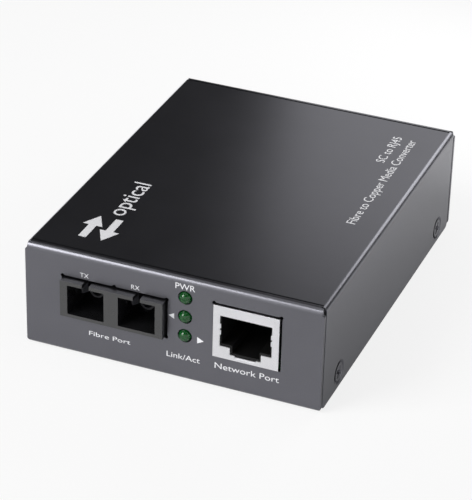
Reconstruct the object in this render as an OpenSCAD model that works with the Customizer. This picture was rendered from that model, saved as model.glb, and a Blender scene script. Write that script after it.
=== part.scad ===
// Desktop fibre media converter: a bent sheet-steel case around one circuit board that carries a
// duplex SC optical transceiver, a shielded RJ45 jack, three LEDs, a DC jack and a slide switch.
// Origin: centre of the case's footprint, on the underside. +X right, +Y to the rear, +Z up.

/* [Case] */
// Width of the case across the front panel
case_w = 73; // [70:1:120]
// Depth of the case from front panel to rear panel
case_d = 94.5; // [88:0.5:160]
// Height of the case
case_h = 27; // [27:0.5:45]
// Thickness of the steel sheet
sheet_t = 1; // [0.8:0.1:1.3]
// Inner radius of the bends at the front and rear panels
panel_bend_in = 0.5; // [0.3:0.1:1]
// Inner radius of the bends of the top cover
cover_bend_in = 0.2; // [0.1:0.1:0.8]
// Gap where the cover butts against the panels and their lips
seam_gap = 0.5; // [0.1:0.1:0.6]
// Gap between the cover's walls and the chassis inside them
wall_gap = 0.1; // [0.1:0.05:0.5]
// Height of the chassis's side flanges
flange_h = 10; // [8:0.5:11]

/* [Screws] */
// Radius of the thread of every screw
thread_r = 1.5; // [1.25:0.05:1.6]
// Radius of the flat heads of the case screws
flat_head_r = 2.3; // [2.2:0.05:3.2]
// Height of the case screws above the underside
case_screw_z = 4; // [3.5:0.1:5]
// Distance of the front case screws from the front panel
case_screw_front = 12; // [11:0.5:16]
// Distance of the rear case screws from the rear panel
case_screw_rear = 10.3; // [9:0.1:14]

/* [Circuit board] */
// Thickness of the circuit board
pcb_t = 1.6; // [1:0.1:2.4]
// Height of the stand-offs under the board
standoff_h = 6; // [4:0.5:7]
// Gap between the board's edge and the steel around it
pcb_edge_gap = 0.75; // [0.5:0.05:1.5]

/* [Duplex SC port] */
// Distance of the duplex port's middle from the case's middle, to the left
sc_offset = 14.06; // [14:0.02:16]
// Distance between the middles of the two ports
sc_pitch = 12.7; // [12.7:0.1:14]
// Width of one port's opening
sc_open_w = 9.1; // [9.05:0.05:9.3]
// Height of one port's opening
sc_open_h = 7.5; // [7.45:0.05:7.8]
// Width of the duplex housing
sc_body_w = 25.6; // [25.4:0.1:27]
// Thickness of the housing above and below the openings
sc_lip = 0.95; // [0.8:0.05:1.4]
// How far the housing stands out of the front panel
sc_proud = 2; // [0.5:0.1:4]
// Bore of the sleeves that take the connector's ferrule, as a radius
ferrule_r = 1.25; // [1.24:0.005:1.3]

/* [RJ45 jack] */
// Distance of the jack's middle from the case's middle, to the right
rj_offset = 18.25; // [17:0.25:20]
// Width of the jack's shield
rj_w = 15.9; // [15.6:0.1:16.5]
// Height of the jack's shield
rj_h = 13.6; // [13.3:0.1:14]
// Depth of the jack
rj_d = 21.5; // [20:0.5:24]

/* [LEDs] */
// Radius of the LED domes
led_r = 1.55; // [1.5:0.05:1.6]
// Distance between two LEDs
led_pitch = 5; // [4.5:0.1:5]
// Distance of the LED column from the case's middle, to the right
led_offset = 3.4; // [2.5:0.1:5]

/* [Rear panel] */
// Distance of the DC jack from the case's middle, to the left seen from the front
dc_offset = 22; // [16:0.5:26]
// Radius of the DC jack's opening
dc_bore_r = 3.15; // [3:0.05:3.4]
// Radius of the DC jack's centre pin
dc_pin_r = 1; // [0.8:0.05:1.25]
// Distance of the slide switch from the case's middle, to the right seen from the front
dip_offset = 16; // [8:0.5:20]
// Travel of the slide switch's sliders
dip_travel = 2; // [1.5:0.1:2.4]

/* [Hidden] */

$fn = 48;
// Small overlap that lets a cut run past a face
past = 0.5;
// Finishes
steel_grey = [0.24, 0.24, 0.26];
black_plastic = [0.07, 0.07, 0.08];
bright_tin = [0.78, 0.78, 0.8];
gold = [0.83, 0.66, 0.25];
board_green = [0.05, 0.3, 0.14];

// Case, worked out
panel_bend_r = panel_bend_in + sheet_t;
cover_bend_r = cover_bend_in + sheet_t;
chassis_w = case_w - 2 * (sheet_t + wall_gap);
flange_bend_r = 1.2;
front_y = -case_d / 2;
rear_y = case_d / 2;
inner_y = case_d / 2 - sheet_t;
lip_flat = 0.3;
lip_end = case_d / 2 - panel_bend_r - lip_flat;
lip_drop = 0.1;
lip_tab_len = 5;
lip_tab_gap = [-4, 10];
ear_high = case_h - panel_bend_r;
ear_top_r = 0.5;
ear_foot_r = 1.2;
bend_notch = 0.5;
flange_end_gap = 3.5;
wall_corner_r = 1.2;
relief_r = 0.45;
cutout_gap = 0.35;

// Screws
flat_head_sunk = 0;
flat_head_h = sheet_t + wall_gap - flat_head_sunk;
flat_head_seat = 0.25;
sink_mouth = 0.75;
sink_gap = 0.3;
case_screw_len = 4;
pan_head_r = 2.7;
pan_head_h = 1.9;
thread_gap = 0.05;
recess_w = 0.85;
recess_len = 3;
recess_depth = 0.9;

// Board
pcb_bottom = sheet_t + standoff_h;
pcb_top = pcb_bottom + pcb_t;
pcb_w = chassis_w - 2 * (sheet_t + pcb_edge_gap);
pcb_y = inner_y - pcb_edge_gap;
standoff_r = 2.75;
standoff_x = pcb_w / 2 - 3;
standoff_front = -pcb_y + 4.5;
standoff_rear = pcb_y - 14.5;
hole_gap = 0.15;
lead_r = 0.25;
lead_below = 0.8;

// Duplex SC port
sc_x = -sc_offset;
sc_body_h = sc_open_h + 2 * sc_lip;
sc_z = pcb_top + 2.2 + sc_body_h / 2;
sc_front = front_y - sc_proud;
sc_len = 14;
sc_back = sc_front + sc_len;
sc_wall = 1.5;
sc_key_w = 1.7;
sc_key_len = 6;
sc_stud_r = 0.95;
sc_stud_x = 10.16;
sc_stud_y = sc_front + 8.5;
sc_stud_shoulder_r = 1.6;
clip_t = 0.8;
clip_gap = 0.1;
clip_arm_len = 5.4;
clip_arm_x = 3.55;
clip_arm_w = 3;
clip_hook = 0.45;
sleeve_out_r = 1.75;
sleeve_reach = 6.3;
sleeve_flange_r = 2.9;
sleeve_flange_t = 1;
can_r = 2.3;
can_header_r = 2.7;
can_header_t = 1;
can_len = 4.2;
can_lead_len = 3;
can_lead_ring = 1.1;
tr_cover_len = 25;
tr_cover_w = 25.4;
tr_cover_t = 0.8;
tr_pcb_t = 1;
tr_pcb_z = sc_z - 3;
tr_pcb_len = 16;
tr_pcb_w = 22;
tr_pin_count = 9;
tr_pin_pitch = 2.54;
tr_pin_y = sc_back + tr_cover_len - 3.5;
tr_pcb_y = sc_back + tr_cover_len - 1.6 - tr_pcb_len / 2;

// RJ45 jack
rj_x = rj_offset;
rj_proud = 0.2;
rj_gap_left = 0.12;
rj_gap_right = 0.5;
rj_gap_below = 0.1;
rj_gap_above = 0.45;
rj_front = front_y - rj_proud;
rj_back = rj_front + rj_d;
rj_skin = 0.3;
rj_open_w = 12.5;
rj_open_low = 3.15;
rj_open_high = 11.1;
rj_latch_w = 7.5;
rj_latch_low = 1.3;
rj_notch_w = 5.1;
rj_notch_low = 0.7;
rj_cavity_w = 11.95;
rj_cavity_low = 3.65;
rj_cavity_high = 11;
rj_cavity_len = 13.6;
rj_latch_in_w = 6.6;
rj_latch_in_low = 1.7;
rj_skin_gap = 0.05;
rj_contact_pitch = 1.02;
rj_contact_t = 0.35;
rj_peg_w = 1.6;

// LEDs
led_x = led_offset;
led_hole_gap = 0.15;
led_low = pcb_top + 3.4;
led_flange_r = 1.9;
led_flange_t = 1;
led_body_len = 3.2;
led_tip = front_y - 1.2;
led_base = led_tip + led_r + led_body_len;
led_spacer_w = 4.4;
led_spacer_len = 5.6;
led_lead_x = 1.27;

// Rear connectors
dc_x = -dc_offset;
dc_w = 9;
dc_h = 11;
dc_len = 14.2;
dc_proud = 0.3;
dc_z = pcb_top + 6.5;
dc_back = rear_y + dc_proud;
dc_bore_len = 10;
dc_spring_w = 2.6;
dc_spring_t = 0.3;
dip_x = dip_offset;
dip_w = 7.6;
dip_h = 8;
dip_len = 5.5;
dip_sunk = 0.65;
dip_face = rear_y - dip_sunk;
dip_pitch = 2.54;
dip_z = pcb_top + 4.2;
dip_wall = 0.5;
dip_knob_w = 1.1;
dip_knob_h = 1.4;
dip_knob_out = 0.5;
dip_foot_w = 1.75;
dip_foot_h = 2.4;
dip_foot_len = 1.2;
dip_gap = 0.15;

// Chips and other board parts
ic_x = 6;
ic_y = 4;
ic_w = 14;
ic_h = 1.4;
lead_t = 0.15;
memory_x = -14;
memory_y = 1;
crystal_x = -16;
crystal_y = 10;
regulator_x = -7;
regulator_y = rear_y - 17;
inductor_x = 4;
inductor_y = rear_y - 26;
cap_r = 3.15;
cap_h = 7.7;
cap_spots = [[4, rear_y - 13], [25, rear_y - 26]];
fuse_x = -12;
fuse_y = rear_y - 9;
diode_x = -6;
diode_y = rear_y - 9;

// ---------------------------------------------------------------------------------- helpers

// Carries a drawing in the Y-Z plane along X, centred
module along_x(len) {
    rotate([90, 0, 90])
        linear_extrude(height = len, center = true)
            children();
}

// Carries a drawing in the X-Z plane along Y, from y_low to y_high
module along_y(y_low, y_high) {
    translate([0, y_high, 0])
        rotate([90, 0, 0])
            linear_extrude(height = y_high - y_low)
                children();
}

// Box given by its two corners
module box(low, high) {
    translate(low)
        cube(high - low);
}

// Rectangle standing on the X axis, with its four corners rounded
module round_rect(w, h, r) {
    translate([-w / 2 + r, 0])
        square([w - 2 * r, h]);
    translate([-w / 2, r])
        square([w, h - 2 * r]);
    for (x = [-w / 2 + r, w / 2 - r])
        for (y = [r, h - r])
            translate([x, y])
                circle(r);
}

// Rectangle standing on the X axis, rounded at the top only
module arch_rect(w, h, r) {
    translate([-w / 2 + r, 0])
        square([w - 2 * r, h]);
    translate([-w / 2, 0])
        square([w, h - r]);
    for (x = [-w / 2 + r, w / 2 - r])
        translate([x, h - r])
            circle(r);
}

// Punched window with round reliefs in its lower (-1) and upper (1) corners
module window(w, h, rows = [-1, 1]) {
    square([w, h], center = true);
    for (x = [-1, 1])
        for (y = rows)
            translate([x * (w / 2 - relief_r / 2), y * (h / 2 - relief_r / 4)])
                circle(relief_r);
}

// Cylinder along Y, from y_low to y_high
module rod_y(y_low, y_high, r) {
    translate([0, y_high, 0])
        rotate([90, 0, 0])
            cylinder(h = y_high - y_low, r = r);
}

// Cross recess of a screw, sunk from z = 0 downwards
module cross_recess(len, w, depth) {
    for (turn = [0, 90])
        rotate([0, 0, turn])
            translate([-len / 2, -w / 2, -depth])
                cube([len, w, depth + past]);
}

// Row of gull-wing leads that leave a chip towards +Y and stand on the board
module lead_row(count, pitch, width, reach, lift) {
    knee = reach * 0.4;
    for (i = [0 : count - 1])
        translate([(i - (count - 1) / 2) * pitch, 0, 0])
            along_x(width)
                polygon([[0, lift + lead_t], [knee + lead_t, lift + lead_t], [knee + lead_t, lead_t],
                    [reach, lead_t], [reach, 0], [knee, 0], [knee, lift], [0, lift]]);
}

// ---------------------------------------------------------------------------------- case

// Front and rear panels, the bottom and the return lips, as one bent strip
module strip_outline() {
    difference() {
        round_rect(case_d, case_h, panel_bend_r);
        translate([0, sheet_t])
            round_rect(case_d - 2 * sheet_t, case_h - 2 * sheet_t, panel_bend_in);
        translate([-lip_end, case_h - 2 * sheet_t])
            square([2 * lip_end, 2 * sheet_t + past]);
    }
}

// Outline of a panel across the full width, with a small notch at each upper corner
module panel_outline() {
    intersection() {
        arch_rect(case_w, ear_high, ear_top_r);
        round_rect(case_w, 2 * case_h, ear_foot_r);
    }
    translate([0, ear_high - 2 * ear_top_r])
        arch_rect(case_w - 2 * bend_notch, case_h, ear_top_r);
}

// Panels with their bends, carried out past the flanges beside the ends of the cover
module wide_panels() {
    for (side = [0, 1])
        mirror([0, side, 0])
            intersection() {
                along_x(case_w + 2 * past)
                    strip_outline();
                along_y(inner_y, rear_y + past)
                    panel_outline();
            }
}

// Offset tabs under the lip, on which the cover's edge rests
module lip_tabs() {
    z_high = case_h - sheet_t - lip_drop;
    for (span = [[-chassis_w / 2 + 3, lip_tab_gap[0]], [lip_tab_gap[1], chassis_w / 2 - 3]]) {
        box([span[0], -inner_y - sheet_t / 2, z_high - sheet_t], [span[1], -lip_end + lip_tab_len, z_high]);
        box([span[0], -inner_y - sheet_t / 2, z_high - sheet_t], [span[1], -lip_end, case_h - sheet_t / 2]);
    }
}

// Side flanges that take the case screws
module side_flanges() {
    flange_y = inner_y - flange_end_gap;
    for (side = [-1, 1])
        translate([side * (chassis_w / 2 - sheet_t / 2), 0, flange_h / 2])
            cube([sheet_t, 2 * flange_y, flange_h], center = true);
}

module base_chassis() {
    color(steel_grey)
        difference() {
            union() {
                intersection() {
                    union() {
                        along_x(chassis_w)
                            strip_outline();
                        side_flanges();
                    }
                    along_y(front_y - past, rear_y + past)
                        round_rect(chassis_w, case_h + 10, flange_bend_r);
                }
                wide_panels();
                lip_tabs();
                mirror([0, 1, 0])
                    lip_tabs();
            }
            front_windows();
            rear_windows();
            for (spot = case_screw_spots())
                translate([0, spot[1], case_screw_z])
                    rotate([0, 90 * spot[0], 0])
                        cylinder(h = case_w, r = thread_r + thread_gap);
        }
}

// Openings in the front panel
module front_windows() {
    along_y(front_y - past, -inner_y + past / 2) {
        translate([sc_x, sc_z]) {
            window(sc_body_w + 2 * cutout_gap, sc_body_h + 2 * cutout_gap);
            translate([0, sc_body_h / 2 + cutout_gap])
                circle(relief_r);
        }
        translate([rj_x + (rj_gap_right - rj_gap_left) / 2, pcb_top + (rj_h + rj_gap_above - rj_gap_below) / 2])
            window(rj_w + rj_gap_left + rj_gap_right, rj_h + rj_gap_below + rj_gap_above, [1]);
        for (i = [0 : 2])
            translate([led_x, led_low + i * led_pitch])
                circle(led_r + led_hole_gap);
    }
}

// Openings in the rear panel
module rear_windows() {
    along_y(inner_y - past / 2, rear_y + past) {
        translate([dc_x, pcb_top + dc_h / 2])
            window(dc_w + 2 * cutout_gap, dc_h + 2 * cutout_gap);
        translate([dip_x, dip_z])
            window(dip_w + 2 * cutout_gap, dip_h + 2 * cutout_gap);
    }
}

// Side (as -1 or 1) and depth of each case screw
function case_screw_spots() = [
    for (side = [-1, 1])
        for (y = [front_y + case_screw_front, rear_y - case_screw_rear])
            [side, y]
];

module top_cover() {
    cover_y = inner_y - seam_gap;
    top_y = lip_end - seam_gap;
    color(steel_grey)
        difference() {
            along_y(-cover_y, cover_y)
                difference() {
                    arch_rect(case_w, case_h, cover_bend_r);
                    translate([0, -past])
                        arch_rect(case_w - 2 * sheet_t, case_h - sheet_t + past, cover_bend_in);
                }
            for (side = [-1, 1]) {
                translate([0, side * (top_y + case_d / 2), case_h])
                    cube([case_w - 2 * sheet_t, case_d, 2 * (sheet_t + cover_bend_in + past)], center = true);
                translate([0, side * cover_y, 0])
                    wall_corner_cut(side);
            }
            for (spot = case_screw_spots())
                translate([spot[0] * (case_w / 2 + past), spot[1], case_screw_z])
                    rotate([0, -90 * spot[0], 0])
                        screw_sink();
        }
}

// Rounding of the walls' lower corners at one end of the cover
module wall_corner_cut(side) {
    along_x(case_w + 2 * past)
        difference() {
            translate([-side * wall_corner_r / 2 + side * past / 2, wall_corner_r / 2 - past / 2])
                square([wall_corner_r + past, wall_corner_r + past], center = true);
            translate([-side * wall_corner_r, wall_corner_r])
                circle(wall_corner_r);
        }
}

// Countersink through the cover's wall, from past outside it
module screw_sink() {
    cylinder(h = past, r = flat_head_r + sink_mouth);
    translate([0, 0, past])
        cylinder(h = sheet_t, r1 = flat_head_r + sink_mouth, r2 = thread_r + flat_head_seat + sink_gap);
    translate([0, 0, past + sheet_t / 2])
        cylinder(h = sheet_t, r = thread_r + sink_gap);
}

// One flat-head screw whose head lies at z = 0 and whose thread points up
module flat_screw() {
    difference() {
        union() {
            cylinder(h = flat_head_h, r1 = flat_head_r, r2 = thread_r + flat_head_seat);
            cylinder(h = case_screw_len, r = thread_r);
        }
        mirror([0, 0, 1])
            cross_recess(recess_len, recess_w, recess_depth);
    }
}

module case_screws() {
    color(steel_grey)
        for (spot = case_screw_spots())
            translate([spot[0] * (case_w / 2 - flat_head_sunk), spot[1], case_screw_z])
                rotate([0, -90 * spot[0], 0])
                    rotate([0, 0, 30])
                        flat_screw();
}

// ---------------------------------------------------------------------------------- board

// The four places where the board is held
function board_spots() = [
    for (x = [-standoff_x, standoff_x])
        for (y = [standoff_front, standoff_rear])
            [x, y]
];

module pcb_standoffs() {
    color("silver")
        for (spot = board_spots())
            translate([spot[0], spot[1], sheet_t])
                difference() {
                    cylinder(h = standoff_h, r = standoff_r);
                    translate([0, 0, -past])
                        cylinder(h = standoff_h + 2 * past, r = thread_r + thread_gap);
                }
}

module pcb_screws() {
    color("silver")
        for (spot = board_spots())
            translate([spot[0], spot[1], pcb_top])
                difference() {
                    union() {
                        cylinder(h = pan_head_h, r = pan_head_r);
                        translate([0, 0, -pcb_t - standoff_h + past])
                            cylinder(h = pcb_t + standoff_h, r = thread_r);
                    }
                    translate([0, 0, pan_head_h])
                        cross_recess(recess_len, recess_w, recess_depth);
                }
}

// Places of the leads that go through the board, as [x, y, radius]
function lead_spots() = concat(
    [for (i = [0 : tr_pin_count - 1]) [sc_x + (i - (tr_pin_count - 1) / 2) * tr_pin_pitch, tr_pin_y, lead_r]],
    [for (side = [-1, 1]) [sc_x + side * sc_stud_x, sc_stud_y, sc_stud_r]],
    [for (i = [0 : 7]) [rj_x + (i - 3.5) * rj_contact_pitch, rj_pin_y(i), lead_r]],
    [for (side = [-1, 1]) [rj_x + side * (rj_w - rj_skin) / 2, rj_peg_y(), rj_peg_w / 2]],
    [for (i = [0 : 2]) for (side = [-1, 1]) [led_x + side * led_lead_x, led_lead_y(i), lead_r]],
    [for (spot = dc_terminal_spots()) [spot[0], spot[1], 0.8]],
    [for (spot = dip_pin_spots()) [spot[0], spot[1], lead_r]]
);

module main_pcb() {
    color(board_green)
        difference() {
            box([-pcb_w / 2, -pcb_y, pcb_bottom], [pcb_w / 2, pcb_y, pcb_top]);
            for (spot = board_spots())
                translate([spot[0], spot[1], pcb_bottom - past])
                    cylinder(h = pcb_t + 2 * past, r = thread_r + hole_gap);
            for (spot = lead_spots())
                translate([spot[0], spot[1], pcb_bottom - past])
                    cylinder(h = pcb_t + 2 * past, r = spot[2] + hole_gap);
        }
}

// ---------------------------------------------------------------------------------- transceiver

// The middles of the two ports
function port_x(side) = sc_x + side * sc_pitch / 2;

module sc_housing() {
    back_face = sc_back - sc_wall;
    color(black_plastic) {
        difference() {
            box([sc_x - sc_body_w / 2, sc_front, sc_z - sc_body_h / 2], [sc_x + sc_body_w / 2, sc_back, sc_z + sc_body_h / 2]);
            for (side = [-1, 1])
                translate([port_x(side), 0, sc_z]) {
                    box([-sc_open_w / 2, sc_front - past, -sc_open_h / 2], [sc_open_w / 2, back_face, sc_open_h / 2]);
                    box([-sc_key_w / 2, sc_front - past, 0], [sc_key_w / 2, sc_front + sc_key_len, sc_body_h]);
                    rod_y(back_face - past, sc_back + past, sleeve_out_r + clip_gap);
                }
        }
        for (side = [-1, 1])
            translate([sc_x + side * sc_stud_x, sc_stud_y, 0]) {
                translate([0, 0, pcb_top])
                    cylinder(h = sc_z - sc_body_h / 2 - pcb_top, r = sc_stud_shoulder_r);
                translate([0, 0, pcb_bottom - lead_below])
                    cylinder(h = pcb_t + lead_below, r = sc_stud_r);
            }
    }
}

// Outline of the right-hand arm, its hook pointing inwards
module clip_arm_outline() {
    inner = -clip_t / 2;
    polygon([[clip_t / 2, clip_t], [clip_t / 2, -clip_arm_len], [0, -clip_arm_len],
        [inner - clip_hook, -clip_arm_len + 1], [inner - clip_hook, -clip_arm_len + 1.6],
        [inner, -clip_arm_len + 2.2], [inner, clip_t]]);
}

// Two springy hooks on a base plate at the back of a port
module latch_clip(side) {
    base_y = sc_back - sc_wall - clip_t;
    plate_w = sc_open_w - 2 * clip_gap;
    plate_h = sc_open_h - 2 * clip_gap;
    translate([port_x(side), 0, sc_z])
        difference() {
            union() {
                box([-plate_w / 2, base_y, -plate_h / 2], [plate_w / 2, base_y + clip_t, plate_h / 2]);
                for (hand = [0, 1])
                    mirror([hand, 0, 0])
                        translate([clip_arm_x, base_y, -clip_arm_w / 2])
                            linear_extrude(height = clip_arm_w)
                                clip_arm_outline();
            }
            rod_y(base_y - past, base_y + clip_t + past, sleeve_out_r + clip_gap);
        }
}

module tx_latch_clip() {
    color([0.25, 0.25, 0.27])
        latch_clip(-1);
}

module rx_latch_clip() {
    color([0.25, 0.25, 0.27])
        latch_clip(1);
}

// Barrel that takes the ferrule, with a flange behind the housing
module ferrule_sleeve(side) {
    tip = sc_back - sc_wall - sleeve_reach;
    translate([port_x(side), 0, sc_z])
        difference() {
            union() {
                rod_y(tip, sc_back + sleeve_flange_t, sleeve_out_r);
                rod_y(sc_back, sc_back + sleeve_flange_t, sleeve_flange_r);
            }
            rod_y(tip - past, sc_back - sc_wall, ferrule_r);
            rod_y(tip, sc_back + sleeve_flange_t + past, ferrule_r / 2);
        }
}

module tx_sleeve() {
    color(bright_tin)
        ferrule_sleeve(-1);
}

module rx_sleeve() {
    color(bright_tin)
        ferrule_sleeve(1);
}

// Metal can with its header and four leads, behind a sleeve
module optical_can(side) {
    can_y = sc_back + sleeve_flange_t;
    translate([port_x(side), 0, sc_z]) {
        rod_y(can_y, can_y + can_len, can_r);
        rod_y(can_y + can_len - can_header_t, can_y + can_len, can_header_r);
        for (turn = [45 : 90 : 315])
            rotate([0, turn, 0])
                translate([can_lead_ring, 0, 0])
                    rod_y(can_y + can_len - can_header_t / 2, can_y + can_len + can_lead_len, lead_r);
    }
}

module laser_can() {
    color(gold)
        optical_can(-1);
}

module photodiode_can() {
    color(bright_tin)
        optical_can(1);
}

module transceiver_cover() {
    top = sc_z + sc_body_h / 2;
    color([0.62, 0.63, 0.65])
        difference() {
            box([sc_x - tr_cover_w / 2, sc_back, pcb_top], [sc_x + tr_cover_w / 2, sc_back + tr_cover_len, top]);
            box([sc_x - tr_cover_w / 2 + tr_cover_t, sc_back - past, pcb_top - past],
                [sc_x + tr_cover_w / 2 - tr_cover_t, sc_back + tr_cover_len - tr_cover_t, top - tr_cover_t]);
        }
}

module transceiver_pcb() {
    color(board_green)
        difference() {
            translate([sc_x, tr_pcb_y, tr_pcb_z])
                translate([-tr_pcb_w / 2, -tr_pcb_len / 2, 0])
                    cube([tr_pcb_w, tr_pcb_len, tr_pcb_t]);
            for (i = [0 : tr_pin_count - 1])
                translate([sc_x + (i - (tr_pin_count - 1) / 2) * tr_pin_pitch, tr_pin_y, tr_pcb_z - past])
                    cylinder(h = tr_pcb_t + 2 * past, r = lead_r + hole_gap);
        }
}

module transceiver_pins() {
    color(gold)
        for (i = [0 : tr_pin_count - 1])
            translate([sc_x + (i - (tr_pin_count - 1) / 2) * tr_pin_pitch, tr_pin_y, pcb_bottom - lead_below])
                cylinder(h = tr_pcb_z + tr_pcb_t + past - pcb_bottom + lead_below, r = lead_r);
}

module driver_ic() {
    color(black_plastic)
        for (side = [-1, 1])
            translate([port_x(side), tr_pcb_y, tr_pcb_z + tr_pcb_t])
                translate([-2.5, -4, 0])
                    cube([5, 5, 1]);
}

// ---------------------------------------------------------------------------------- RJ45 jack

// Depth of each contact's lead: two staggered rows
function rj_pin_y(i) = rj_back - (i % 2 == 0 ? 1.6 : 4.14);

// Depth of the shield's two pegs
function rj_peg_y() = rj_front + 12.4;

// Outline of the mouth in the shield: main opening, latch slot and its notch
module jack_mouth() {
    translate([-rj_open_w / 2, rj_open_low])
        square([rj_open_w, rj_open_high - rj_open_low]);
    translate([-rj_latch_w / 2, rj_latch_low])
        square([rj_latch_w, rj_open_low - rj_latch_low + past]);
    translate([-rj_notch_w / 2, rj_notch_low])
        square([rj_notch_w, rj_latch_low - rj_notch_low + past]);
}

// Outline of the cavity in the insulator
module jack_cavity() {
    translate([-rj_cavity_w / 2, rj_cavity_low])
        square([rj_cavity_w, rj_cavity_high - rj_cavity_low]);
    translate([-rj_latch_in_w / 2, rj_latch_in_low])
        square([rj_latch_in_w, rj_cavity_low - rj_latch_in_low + past]);
}

module rj45_shield() {
    in_w = rj_w - 2 * rj_skin;
    color(bright_tin)
        translate([rj_x, 0, pcb_top]) {
            difference() {
                box([-rj_w / 2, rj_front, 0], [rj_w / 2, rj_back, rj_h]);
                box([-in_w / 2, rj_front + rj_skin, -past], [in_w / 2, rj_back - rj_skin, rj_h - rj_skin]);
                along_y(rj_front - past, rj_front + rj_skin + past)
                    jack_mouth();
            }
            for (side = [-1, 1])
                translate([side * (rj_w - rj_skin) / 2, rj_peg_y(), -pcb_t - lead_below])
                    translate([-rj_skin / 2, -rj_peg_w / 2, 0])
                        cube([rj_skin, rj_peg_w, pcb_t + lead_below + 1]);
        }
}

module rj45_insulator() {
    body_w = rj_w - 2 * (rj_skin + rj_skin_gap);
    body_low = rj_front + rj_skin + rj_skin_gap;
    body_high = rj_back - rj_skin - rj_skin_gap;
    run_w = 8 * rj_contact_pitch + 0.4;
    cavity_end = rj_front + rj_cavity_len;
    color(black_plastic)
        translate([rj_x, 0, pcb_top])
            difference() {
                box([-body_w / 2, body_low, 0], [body_w / 2, body_high, rj_h - rj_skin - rj_skin_gap]);
                along_y(body_low - past, cavity_end)
                    jack_cavity();
                box([-run_w / 2, cavity_end - past, rj_cavity_high - 0.6], [run_w / 2, body_high + past, rj_cavity_high]);
                box([-run_w / 2, rj_pin_y(1) - 0.6, -past], [run_w / 2, body_high + past, rj_cavity_high]);
            }
}

// Eight spring wires: back along the ceiling from the mouth, and down to the board
module rj45_contacts() {
    front_end = rj_front + 2.2;
    spring_end = rj_front + 10.5;
    ceiling = rj_cavity_high - 0.08;
    t = rj_contact_t;
    color(gold)
        for (i = [0 : 7])
            translate([rj_x + (i - 3.5) * rj_contact_pitch, 0, pcb_top])
                along_x(t)
                    polygon([[front_end, ceiling], [rj_pin_y(i) + t / 2, ceiling],
                        [rj_pin_y(i) + t / 2, -pcb_t - lead_below], [rj_pin_y(i) - t / 2, -pcb_t - lead_below],
                        [rj_pin_y(i) - t / 2, ceiling - t], [front_end + 1.4, ceiling - t],
                        [spring_end, ceiling - 2.6], [spring_end - 0.2, ceiling - 2.95], [front_end, ceiling - t]]);
}

module magnetics_module() {
    color(black_plastic)
        translate([rj_x, rj_back + 10.5, pcb_top + 0.1])
            translate([-7.55, -8, 0])
                cube([15.1, 16, 5.6]);
}

module magnetics_leads() {
    color(bright_tin)
        translate([rj_x, rj_back + 10.5, pcb_top])
            for (turn = [0, 180])
                rotate([0, 0, turn + 90])
                    translate([0, 7.55, 0])
                        lead_row(12, 1.27, 0.5, 1.4, 1.2);
}

// ---------------------------------------------------------------------------------- LEDs

// Depth where the leads of an LED turn down, the lowest LED nearest the spacer
function led_lead_y(i) = led_base + led_spacer_len + 0.6 + i * 1.3;

// One LED: dome, body and flange
module led_lens(i) {
    color([0.05, 0.35, 0.12])
        translate([led_x, 0, led_low + i * led_pitch]) {
            rod_y(led_tip + led_r, led_base, led_r);
            rod_y(led_base - led_flange_t, led_base, led_flange_r);
            translate([0, led_tip + led_r, 0])
                rotate([90, 0, 0])
                    rotate_extrude()
                        intersection() {
                            circle(led_r);
                            square(led_r);
                        }
        }
}

module led_copper_link() {
    led_lens(0);
}

module led_fibre_link() {
    led_lens(1);
}

module led_power() {
    led_lens(2);
}

module led_leads() {
    color(bright_tin)
        for (i = [0 : 2])
            for (side = [-1, 1])
                translate([led_x + side * led_lead_x, 0, led_low + i * led_pitch]) {
                    rod_y(led_base, led_lead_y(i), lead_r);
                    translate([0, led_lead_y(i), 0])
                        sphere(lead_r);
                    translate([0, led_lead_y(i), pcb_bottom - lead_below - led_low - i * led_pitch])
                        cylinder(h = led_low + i * led_pitch - pcb_bottom + lead_below, r = lead_r);
                }
}

module led_spacer() {
    top = led_low + 2 * led_pitch + 2.2;
    color(black_plastic)
        difference() {
            box([led_x - led_spacer_w / 2, led_base, pcb_top], [led_x + led_spacer_w / 2, led_base + led_spacer_len, top]);
            for (i = [0 : 2])
                for (side = [-1, 1])
                    translate([led_x + side * led_lead_x, 0, led_low + i * led_pitch])
                        rod_y(led_base - past, led_base + led_spacer_len + past, lead_r + hole_gap);
        }
}

// ---------------------------------------------------------------------------------- rear connectors

// Places of the DC jack's three terminals
function dc_terminal_spots() = [
    [dc_x, dc_back - dc_len + 0.9],
    [dc_x, dc_back - 8],
    [dc_x - 3.5, dc_back - dc_len + 3.6]
];

module dc_jack_body() {
    color(black_plastic)
        difference() {
            box([dc_x - dc_w / 2, dc_back - dc_len, pcb_top], [dc_x + dc_w / 2, dc_back, pcb_top + dc_h]);
            translate([dc_x, 0, dc_z]) {
                rod_y(dc_back - dc_bore_len, dc_back + past, dc_bore_r);
                rod_y(dc_back - dc_len - past, dc_back - dc_bore_len + past, dc_pin_r + hole_gap);
                box([-dc_spring_w / 2 - hole_gap, dc_back - dc_bore_len, -dc_bore_r - 1.3],
                    [dc_spring_w / 2 + hole_gap, dc_back - 1.5, 0]);
            }
            for (spot = dc_terminal_spots())
                translate([spot[0], spot[1], pcb_top - past])
                    translate([-0.75, -0.35, 0])
                        cube([1.5, 0.7, 1.6 + past]);
        }
}

module dc_jack_pin() {
    tip = dc_back - 1;
    color(bright_tin)
        translate([dc_x, 0, dc_z]) {
            rod_y(dc_back - dc_len + 0.5, tip - dc_pin_r, dc_pin_r);
            translate([0, tip - dc_pin_r, 0])
                sphere(dc_pin_r);
        }
}

module dc_jack_spring() {
    low = dc_z - dc_bore_r - 1.1;
    color(bright_tin)
        translate([dc_x, 0, 0])
            along_x(dc_spring_w)
                polygon([[dc_back - dc_bore_len + 0.2, low], [dc_back - 2, low], [dc_back - 2, low + dc_spring_t],
                    [dc_back - 3, low + dc_spring_t], [dc_back - 6, low + 1.3], [dc_back - 6.4, low + 1.3],
                    [dc_back - dc_bore_len + 0.8, low + dc_spring_t],
                    [dc_back - dc_bore_len + 0.2, low + dc_spring_t]]);
}

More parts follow.
